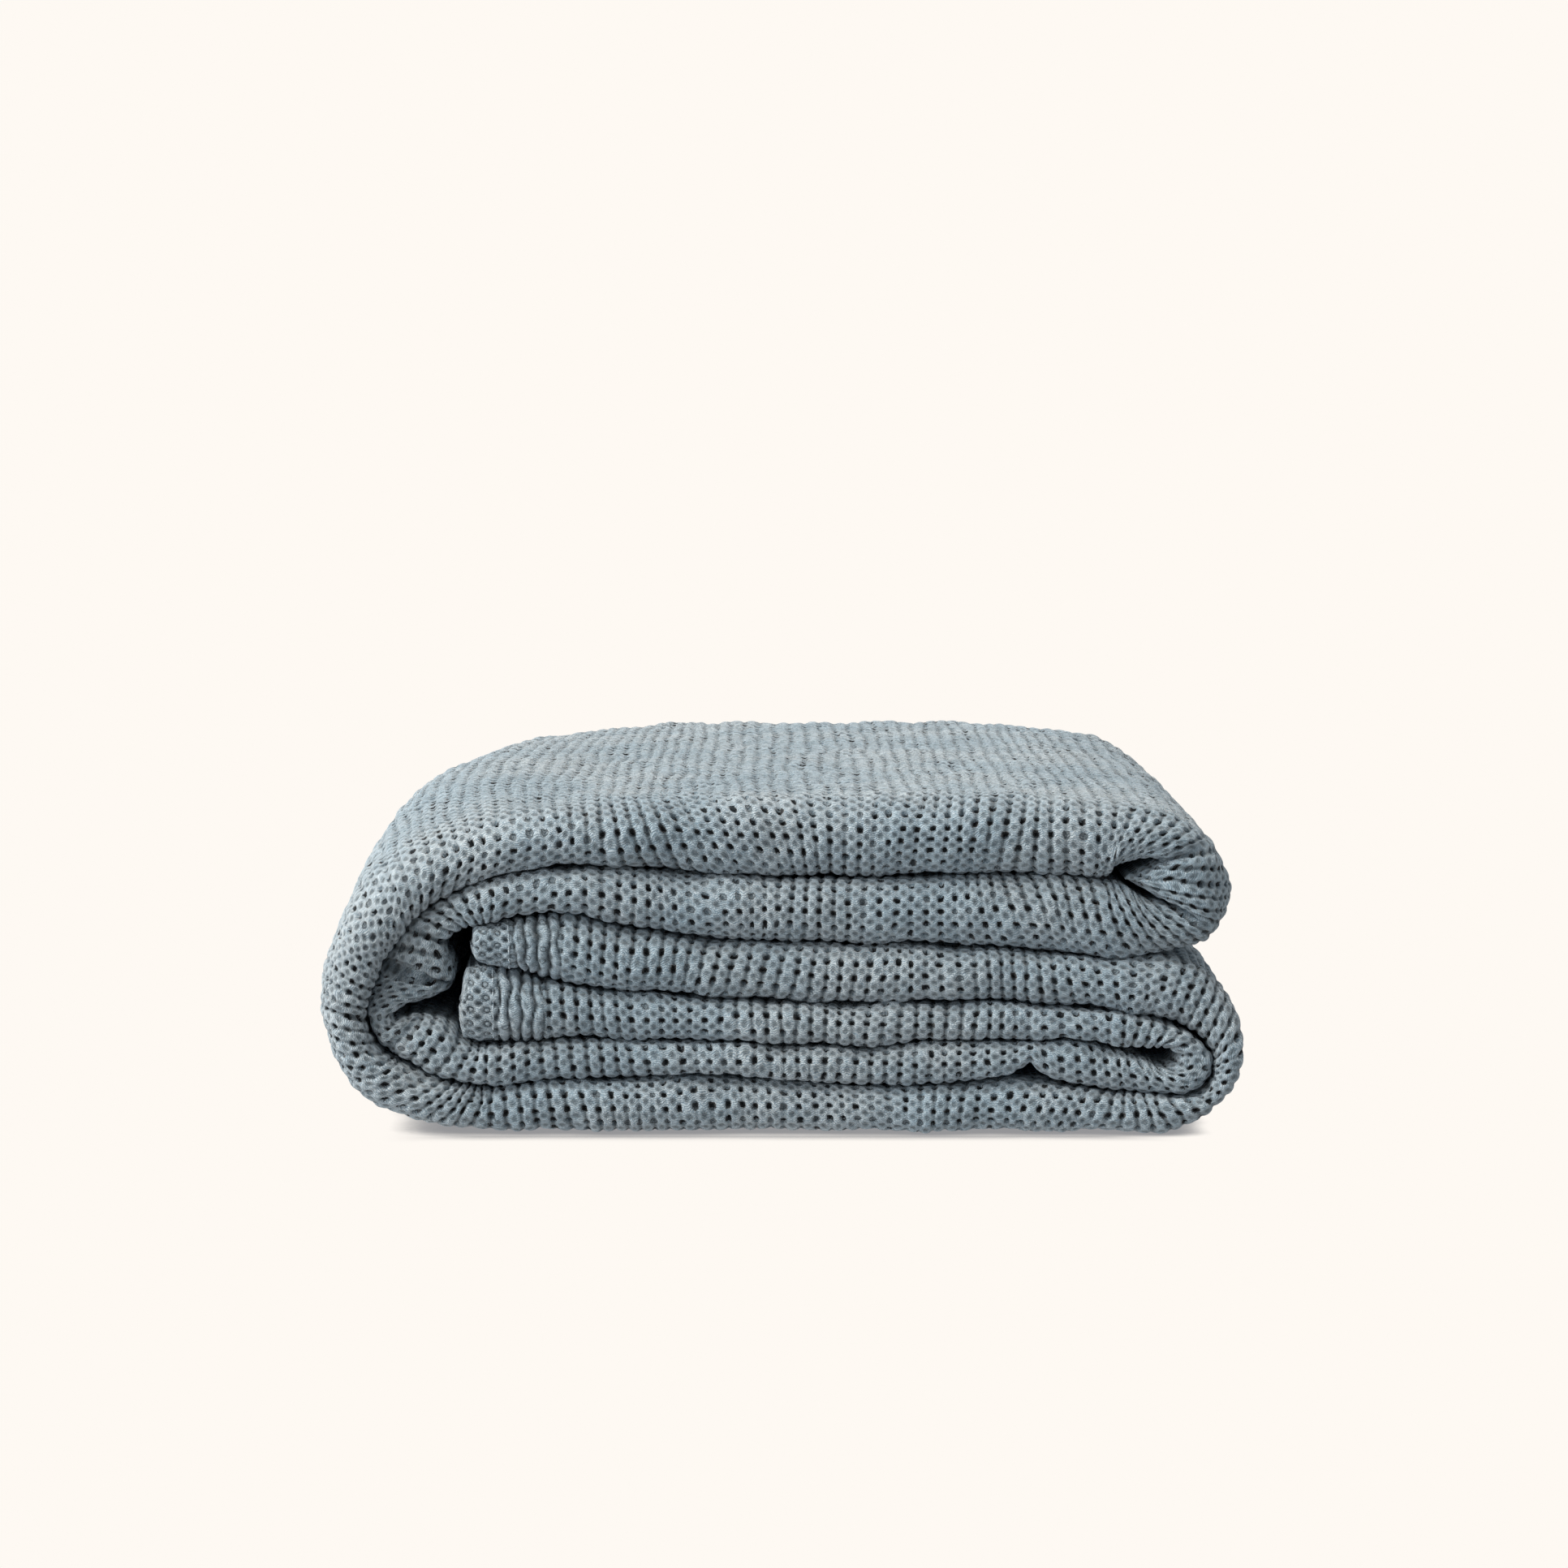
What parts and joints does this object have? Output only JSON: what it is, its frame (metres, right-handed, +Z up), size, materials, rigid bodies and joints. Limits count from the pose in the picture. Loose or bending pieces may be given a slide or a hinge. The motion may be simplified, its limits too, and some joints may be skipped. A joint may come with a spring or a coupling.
{
  "type": "folded throw blanket",
  "caption": "Honeycomb-woven cotton throw, folded into a flat stack with its fold edges forward; its top leaves open to the left.",
  "frame": {"origin": "middle of the face it rests on", "axes": "+Z up out of the stack of leaves; +Y from the front fold edges back to the selvedges; +X to the right, away from the left turn"},
  "size_m": [0.302, 0.325, 0.1121],
  "materials": {
    "weave": "soft matt cotton honeycomb weave, garment-washed blue-grey",
    "hem": "the same cotton, turned in, with woven ribs along the seam",
    "thread": "tonal cotton sewing thread"
  },
  "bodies": {
    "base": {"leaf_3_tucked": "weave", "leaf_4_tucked": "weave", "leaf_5": "weave", "leaf_6_bottom": "weave", "right_turn_inner": "weave", "right_turn_outer": "weave", "left_turn_outer_lower": "weave", "left_turn_inner_lower": "weave", "upper_hem": "hem", "lower_hem": "hem", "upper_hem_stitches": "thread", "lower_hem_stitches": "thread"},
    "left_side": {"left_turn_outer_side": "weave", "left_turn_inner_side": "weave"},
    "top_leaves": {"leaf_1_top": "weave", "leaf_2": "weave", "top_turn": "weave", "left_turn_outer_upper": "weave", "left_turn_inner_upper": "weave"}
  },
  "joints": [
    {"name": "side_unfold", "type": "hinge", "parent": "base", "child": "left_side", "pos_m": [-0.125, 0, 0.0265], "axis": [0, -1, 0], "range_deg": [0, 90], "deforming": ["left_turn_outer_lower", "left_turn_inner_lower"]},
    {"name": "top_unfold", "type": "hinge", "parent": "left_side", "child": "top_leaves", "pos_m": [-0.125, 0, 0.0865], "axis": [0, -1, 0], "range_deg": [0, 90], "deforming": ["left_turn_outer_upper", "left_turn_inner_upper"]}
  ],
  "couplings": [
    {"joint": "side_unfold", "follows": "top_unfold", "ratio": 1}
  ]
}
